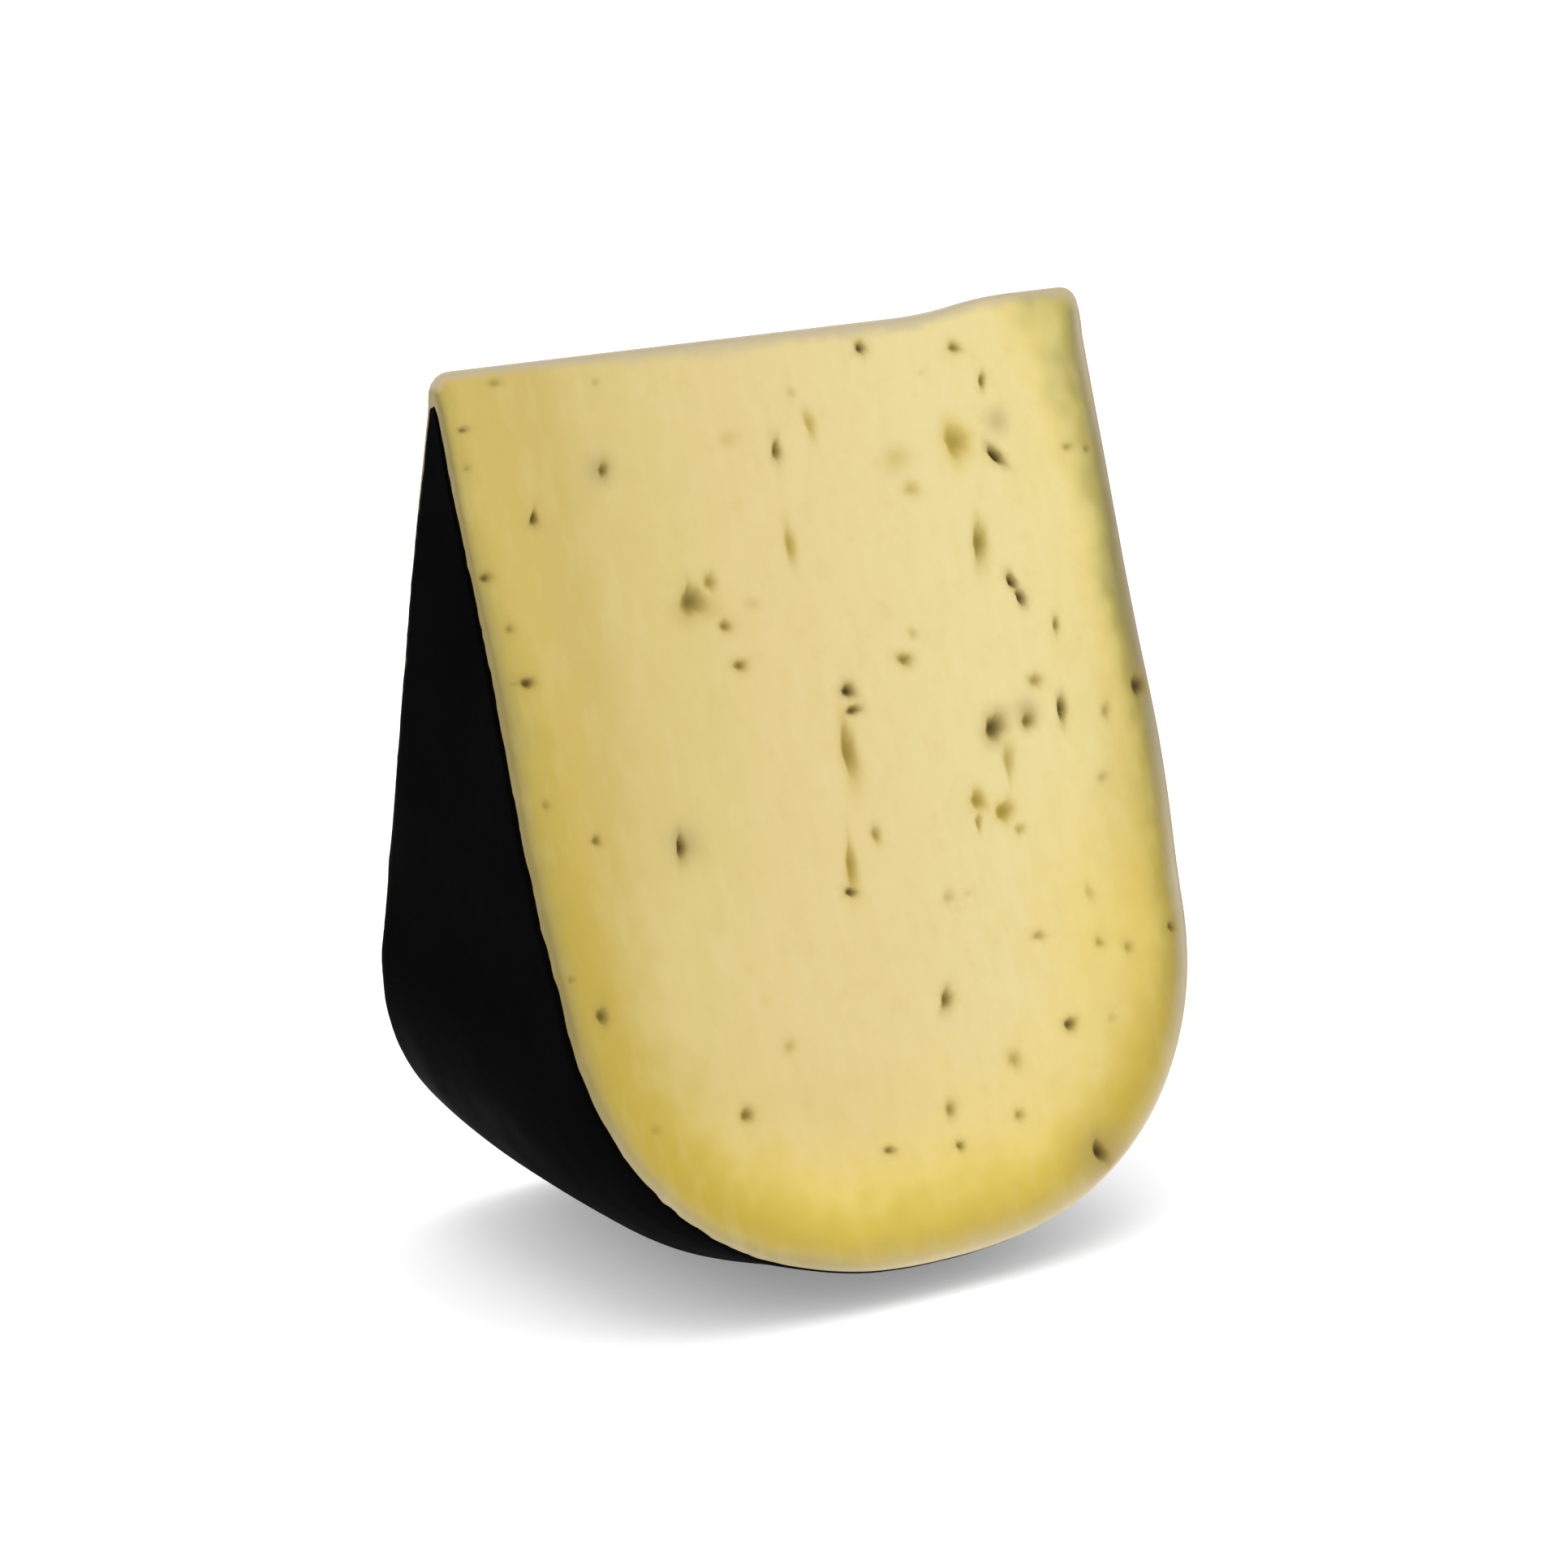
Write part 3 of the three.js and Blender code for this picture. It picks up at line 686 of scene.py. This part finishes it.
def cheese_material():
    """Semi-hard cow's milk cheese: dense, a little waxy, and light sinks some way into it. Cream in the
    heart, deeper yellow towards the rind and dry olive-beige right beside it. The eyes' walls carry
    painted shade from olive to black, and painted shade lies round the dark eyes, over eyes just under
    the cut and, with painted highlight and a little smear, along the knife's streaks."""
    material = bpy.data.materials.new("semi_hard_cheese")
    material.use_nodes = True
    material.node_tree.nodes.clear()
    looks = {}
    for name in ("across", "rind", "right", "low", "aged", "deep", "pale", "gold", "tip", "dry", "wall_shade",
                 "dark", "shade_halo", "shadow"):
        looks[name] = add_node(material, "ShaderNodeAttribute", attribute_name=name).outputs["Fac"]

    here = add_node(material, "ShaderNodeTexCoord").outputs["Object"]
    mottle = add_node(
        material, "ShaderNodeTexNoise", {"Vector": here},
        {"Scale": 1 / (MOTTLE_SIZE * MM), "Detail": 3, "Roughness": 0.55},
    ).outputs["Fac"]
    grain = add_node(
        material, "ShaderNodeTexNoise", {"Vector": here}, {"Scale": 1 / (GRAIN_SIZE * MM), "Detail": 2}
    ).outputs["Fac"]
    stroke_place = add_node(
        material, "ShaderNodeMapping", {"Vector": here},
        {"Rotation": (0, radians(KNIFE_LEAN), 0), "Scale": (1, 1, 1 / STROKE_STRETCH)},
    ).outputs["Vector"]
    stroke_smear_and_shading = add_node(
        material, "ShaderNodeTexNoise", {"Vector": stroke_place},
        {"Scale": 1 / (STROKE_WIDTH * MM), "Detail": 2},
    ).outputs["Fac"]

    # The plain colour: the heart's by place across the wheel, and the aged one's by side and by mm from
    # the rind.
    heart = add_node(
        material, "ShaderNodeValToRGB", {"Fac": looks["across"]},
        stops=[(place / ACROSS_RANGE + 0.5, colour) for place, colour in HEART_COLOURS],
    ).outputs["Color"]
    by_side = {}
    for side, colours in (("left", LEFT_COLOURS), ("right", RIGHT_COLOURS), ("low", LOW_COLOURS)):
        by_side[side] = add_node(
            material, "ShaderNodeValToRGB", {"Fac": looks["rind"]},
            stops=[(place / RIND_RANGE, colour) for place, colour in colours],
        ).outputs["Color"]
    aged = add_node(
        material, "ShaderNodeMix",
        {"Factor": looks["right"], UNDER: by_side["left"], OVER: by_side["right"]}, data_type="RGBA",
    ).outputs[MIXED]
    aged = add_node(
        material, "ShaderNodeMix", {"Factor": looks["low"], UNDER: aged, OVER: by_side["low"]},
        data_type="RGBA",
    ).outputs[MIXED]
    colour = add_node(
        material, "ShaderNodeMix", {"Factor": looks["aged"], UNDER: heart, OVER: aged}, data_type="RGBA"
    ).outputs[MIXED]

    # What lies over the plain colour, in order: its strength where the pattern is weak and strong, the
    # pattern's range, and the colour.
    layers = [
        (looks["deep"], 0, 1, 0.52, "a88f1e"),
        (looks["pale"], 0, 1, 0.7, "b8ac90"),
        (looks["gold"], 0, 1, 0.42, "d2b53c"),
        (mottle, 0.55, 0.85, 0.18, "b49a4a"),
        # Painted highlight and shade along the knife's streaks, with a little smear in them.
        (stroke_smear_and_shading, 0.5, 0.85, 0.12, "dcd2a9"),
        (stroke_smear_and_shading, 0.5, 0.15, 0.12, "b49f54"),
        (looks["tip"], 0, 1, 0.85, "aea287"),
        (looks["dry"], 0, 1, 0.8, "908368"),
        # Painted soft shade where an eye lies just under the cut.
        (looks["shadow"], 0, 1, 0.48, "8f7e55"),
        # Painted shade round the dark eyes.
        (looks["shade_halo"], 0, 1, 0.3, "a08a48"),
    ]
    for pattern, weak, strong, most, tint in layers:
        amount = add_node(
            material, "ShaderNodeMapRange", {"Value": pattern},
            {"From Min": weak, "From Max": strong, "To Max": most},
        ).outputs["Result"]
        colour = add_node(
            material, "ShaderNodeMix", {"Factor": amount, UNDER: colour}, {OVER: linear(tint)},
            data_type="RGBA",
        ).outputs[MIXED]
    # The eyes' walls: painted shade from olive to black.
    eye_colour = add_node(
        material, "ShaderNodeValToRGB", {"Fac": looks["dark"]}, stops=EYE_SHADE_COLOURS
    ).outputs["Color"]
    colour = add_node(
        material, "ShaderNodeMix", {"Factor": looks["wall_shade"], UNDER: colour, OVER: eye_colour},
        data_type="RGBA",
    ).outputs[MIXED]

    rough = add_node(
        material, "ShaderNodeBump", {"Height": mottle}, {"Strength": 0.3, "Distance": 0.08 * MM}
    ).outputs["Normal"]
    rough = add_node(
        material, "ShaderNodeBump", {"Height": grain, "Normal": rough},
        {"Strength": 0.25, "Distance": 0.04 * MM},
    ).outputs["Normal"]
    gloss = add_node(
        material, "ShaderNodeMapRange", {"Value": mottle},
        {"From Min": 0.3, "From Max": 0.7, "To Min": 0.44, "To Max": 0.58},
    ).outputs["Result"]
    shader = add_node(
        material, "ShaderNodeBsdfPrincipled",
        {"Base Color": colour, "Roughness": gloss, "Normal": rough},
        {"IOR": 1.46, "Subsurface Weight": 0.2, "Subsurface Radius": (1.0, 0.62, 0.28),
         "Subsurface Scale": 1.6 * MM, "Specular IOR Level": 0.4},
    )
    add_node(material, "ShaderNodeOutputMaterial", {"Surface": shader.outputs["BSDF"]})
    return material


curd = make_curd()
curd.data.materials.append(cheese_material())
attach(curd, "root")
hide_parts("cheese_wedge")

# ---------------------------------------------------------------------------------------------------------
# The coat. Black plastic cheese coating, brushed on the whole wheel in a few layers and dried to a dull
# skin. It covers the two domed sides and the rim, and the knife leaves it a little ragged at the cuts.
# ---------------------------------------------------------------------------------------------------------

COAT_TOP = 5.7  # mm below the wheel's axis where the coat ends beside the tip
TOP_SEARCH = 50  # its left end lies within this many mm of the start of the way round the section
COAT_SINK = 0.05  # its inside reaches this far into the curd, so that no gap shows
COAT_COLUMNS, COAT_ROWS = 330, 56
ROW_CROWDING = 1.15  # the rows lie a little closer together towards the cuts
THINNING = 0.85  # share of its thickness that the coat loses towards its border, over the last millimetre
# How far it has drawn back, in mm: at its two upper ends at most, from the cuts at least and at most, and
# what comes on top of that on the near cut's right, where it crumbled low on the left, and up by the tip.
END_GAP, CUT_GAP = 0.8, (0.05, 0.5)
WORN_GAP, CRUMBLED_GAP, NARROW_GAP = 0.45, 0.9, 0.6


def ragged(position, seed, low, high):
    """How far the coat has drawn back from an edge at each place along it, in mm, with a few chips."""
    wander = field(5, seed, position, 0 * position)
    teeth = field(1.1, seed, position, 0 * position)
    chips = field(2.6, seed, position, 0 * position)
    plain = between(low, high, np.clip(0.5 + 0.6 * wander + 0.35 * teeth, 0, 1))
    return plain + 0.6 * np.clip(chips - 0.38, 0, 1)


def coat_ends():
    """Where the coat starts and ends on the way round the section: beside the tip, left and right."""
    down_left = slice(0, round(TOP_SEARCH / OUTLINE_STEP))
    left_end = np.interp(COAT_TOP, fine_depth[down_left], fine_way[down_left])
    right_start = int(np.argmax(fine_x > 0))
    right_top = right_start + int(np.argmin(fine_depth[right_start:]))
    up_right = slice(int(np.argmax(fine_depth)), right_top)
    right_end = np.interp(-COAT_TOP, -fine_depth[up_right], fine_way[up_right])
    return left_end, right_end


def gaps_at_cuts(way):
    """How far the coat has drawn back from the near cut and from the far one, in mm."""
    x = np.interp(way, fine_way, fine_x)
    depth = np.interp(way, fine_way, fine_depth)
    worn = WORN_GAP * smooth_step(x, -20, 4)
    crumbly = smooth_step(depth, 96, 108) * fade(x, -24, -10)
    crumbs = np.clip(0.2 + field(1.6, 5, way, 0 * way), 0, 1)
    near_gap = ragged(way, 3, *CUT_GAP) + worn + CRUMBLED_GAP * crumbly * crumbs
    return near_gap, ragged(way, 17, *CUT_GAP)


def closed_skin_faces(rows, columns):
    """The faces of a closed skin: its outside, its inside, and the narrow ones round its border."""
    faces = []
    shift = rows * columns
    for j in range(rows - 1):
        for i in range(columns - 1):
            a, b = j * columns + i, j * columns + i + 1
            faces.append((a, a + columns, b + columns, b))
            faces.append((a + shift, b + shift, b + columns + shift, a + columns + shift))
    border = list(range(columns))
    border += [j * columns + columns - 1 for j in range(1, rows)]
    border += [(rows - 1) * columns + i for i in range(columns - 2, -1, -1)]
    border += [j * columns for j in range(rows - 2, 0, -1)]
    for a, b in zip(border, border[1:] + border[:1]):
        faces.append((a, b, b + shift, a + shift))
    return faces


def make_coat():
    """The coat as a closed skin, its outside just under the solid's own surface."""
    column = np.linspace(0, 1, COAT_COLUMNS)
    row = np.linspace(-1, 1, COAT_ROWS)  # -1 at the near cut and 1 at the far one
    row = np.sign(row) * (1 - (1 - np.abs(row)) ** ROW_CROWDING)
    left_end, right_end = coat_ends()
    start = left_end + ragged(row * 3, 31, 0, END_GAP)
    end = right_end - ragged(row * 3, 47, 0, END_GAP)
    way = start[:, None] + (end - start)[:, None] * column[None, :]
    depth = np.interp(way, fine_way, fine_depth)
    near_gap, far_gap = gaps_at_cuts(way[COAT_ROWS // 2])
    gap = np.where(row[:, None] < 0, near_gap, far_gap) + NARROW_GAP * fade(depth, 8, 32)
    angle = row[:, None] * (HALF_ANGLE - gap / depth)
    from_cut = (1 - np.abs(row[:, None])) * HALF_ANGLE * depth
    from_end = np.minimum(way - start[:, None], end[:, None] - way)
    thinned = COAT_THICKNESS * THINNING * fade(np.minimum(from_cut, from_end), 0, 1)
    outside = skin(way, angle, thinned)
    inside = skin(way, angle, COAT_THICKNESS + COAT_SINK)
    points = np.vstack([outside.reshape(-1, 3), inside.reshape(-1, 3)])
    return make_mesh("coat", points, closed_skin_faces(*way.shape))


CLOUD_SIZE, BRUSH_SIZE = 14, 0.9  # mm across the coat's duller patches and its fine marks


def coating_material():
    """Water-borne plastic cheese coating, pigmented black. It is dull and so dense that it hardly shines,
    with faint brush marks and slightly smoother places where it was handled."""
    material = bpy.data.materials.new("black_cheese_coating")
    material.use_nodes = True
    material.node_tree.nodes.clear()
    here = add_node(material, "ShaderNodeTexCoord").outputs["Object"]
    cloudy = add_node(
        material, "ShaderNodeTexNoise", {"Vector": here}, {"Scale": 1 / (CLOUD_SIZE * MM), "Detail": 4}
    ).outputs["Fac"]
    brushed = add_node(
        material, "ShaderNodeTexNoise", {"Vector": here}, {"Scale": 1 / (BRUSH_SIZE * MM), "Detail": 3}
    ).outputs["Fac"]
    colour = add_node(
        material, "ShaderNodeValToRGB", {"Fac": cloudy}, stops=[(0.35, "020202"), (0.65, "050404")]
    ).outputs["Color"]
    gloss = add_node(
        material, "ShaderNodeMapRange", {"Value": cloudy},
        {"From Min": 0.35, "From Max": 0.65, "To Min": 0.5, "To Max": 0.66},
    ).outputs["Result"]
    rough = add_node(
        material, "ShaderNodeBump", {"Height": brushed}, {"Strength": 0.25, "Distance": 0.1 * MM}
    ).outputs["Normal"]
    shader = add_node(
        material, "ShaderNodeBsdfPrincipled",
        {"Base Color": colour, "Roughness": gloss, "Normal": rough},
        {"IOR": 1.45, "Specular IOR Level": 0.003},
    )
    add_node(material, "ShaderNodeOutputMaterial", {"Surface": shader.outputs["BSDF"]})
    return material


coat = make_coat()
coat.data.materials.append(coating_material())
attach(coat, "root")

# ---------------------------------------------------------------------------------------------------------
# The studio. A plain table of white opal acrylic that glows a little, in an even white room, with one
# large soft lamp overhead and a weak one to the front and right.
# ---------------------------------------------------------------------------------------------------------

TABLE_HALF = 3.0


def table_material():
    """Matt opal acrylic, lit a little from below, so that shadows on it stay light."""
    material = bpy.data.materials.new("matt_opal_acrylic")
    material.use_nodes = True
    settings = {"Base Color": linear("fafafa"), "Roughness": 0.8, "Specular IOR Level": 0.2,
                "Emission Color": linear("ffffff"), "Emission Strength": 0.25}
    for socket, value in settings.items():
        material.node_tree.nodes["Principled BSDF"].inputs[socket].default_value = value
    return material


table_mesh = bpy.data.meshes.new("table")
corners = [(-TABLE_HALF, -TABLE_HALF, 0), (TABLE_HALF, -TABLE_HALF, 0),
           (TABLE_HALF, TABLE_HALF, 0), (-TABLE_HALF, TABLE_HALF, 0)]
table_mesh.from_pydata(corners, [], [(0, 1, 2, 3)])
table = bpy.data.objects.new("table", table_mesh)
bpy.context.scene.collection.objects.link(table)
table.data.materials.append(table_material())

room = bpy.data.worlds.new("white_room")
room.use_nodes = True
room.node_tree.nodes["Background"].inputs["Color"].default_value = linear("ffffff")
room.node_tree.nodes["Background"].inputs["Strength"].default_value = 1.0
bpy.context.scene.world = room
bpy.context.scene.view_settings.view_transform = "Standard"


def soft_lamp(name, place, target, size, power):
    lamp = bpy.data.lights.new(name, "AREA")
    lamp.shape = "SQUARE"
    lamp.size = size
    lamp.energy = power
    holder = bpy.data.objects.new(name, lamp)
    holder.location = place
    holder.rotation_euler = (Vector(target) - Vector(place)).to_track_quat("-Z", "Y").to_euler()
    bpy.context.scene.collection.objects.link(holder)


WEDGE_MIDDLE = (solid_low + solid_high) / 2
soft_lamp("overhead", place=(0, -0.2, 1.6), target=WEDGE_MIDDLE, size=1.4, power=8.7)
soft_lamp("window", place=(0.7, -1.1, 0.8), target=WEDGE_MIDDLE, size=0.9, power=0.35)

# ---------------------------------------------------------------------------------------------------------
# The camera. It stands to the left of the near cut, a little above it, and is tilted by two degrees.
# ---------------------------------------------------------------------------------------------------------

CAMERA_AZIMUTH, CAMERA_ELEVATION, CAMERA_ROLL = radians(31.53), radians(13.08), radians(-2.24)
CAMERA_DISTANCE = 0.612
CAMERA_TARGET = Vector((0.82 * MM, 0, 61.12 * MM))
SENSOR_WIDTH = 36
PICTURE_PIXELS, FOCAL_PIXELS = 1932, 5650  # the picture's width and the focal length

ahead = Vector((
    sin(CAMERA_AZIMUTH) * cos(CAMERA_ELEVATION),
    cos(CAMERA_AZIMUTH) * cos(CAMERA_ELEVATION),
    -sin(CAMERA_ELEVATION),
))
level_right = Vector((cos(CAMERA_AZIMUTH), -sin(CAMERA_AZIMUTH), 0))
level_up = level_right.cross(ahead)
right = level_right * cos(CAMERA_ROLL) + level_up * sin(CAMERA_ROLL)
up = level_up * cos(CAMERA_ROLL) - level_right * sin(CAMERA_ROLL)
camera_data = bpy.data.cameras.new("camera")
camera_data.sensor_width = SENSOR_WIDTH
camera_data.sensor_fit = "HORIZONTAL"
camera_data.lens = SENSOR_WIDTH * (FOCAL_PIXELS / PICTURE_PIXELS)
camera = bpy.data.objects.new("camera", camera_data)
camera_turn = Matrix((right, up, -ahead)).transposed().to_4x4()
camera.matrix_world = Matrix.Translation(CAMERA_TARGET - ahead * CAMERA_DISTANCE) @ camera_turn
bpy.context.scene.collection.objects.link(camera)
bpy.context.scene.camera = camera
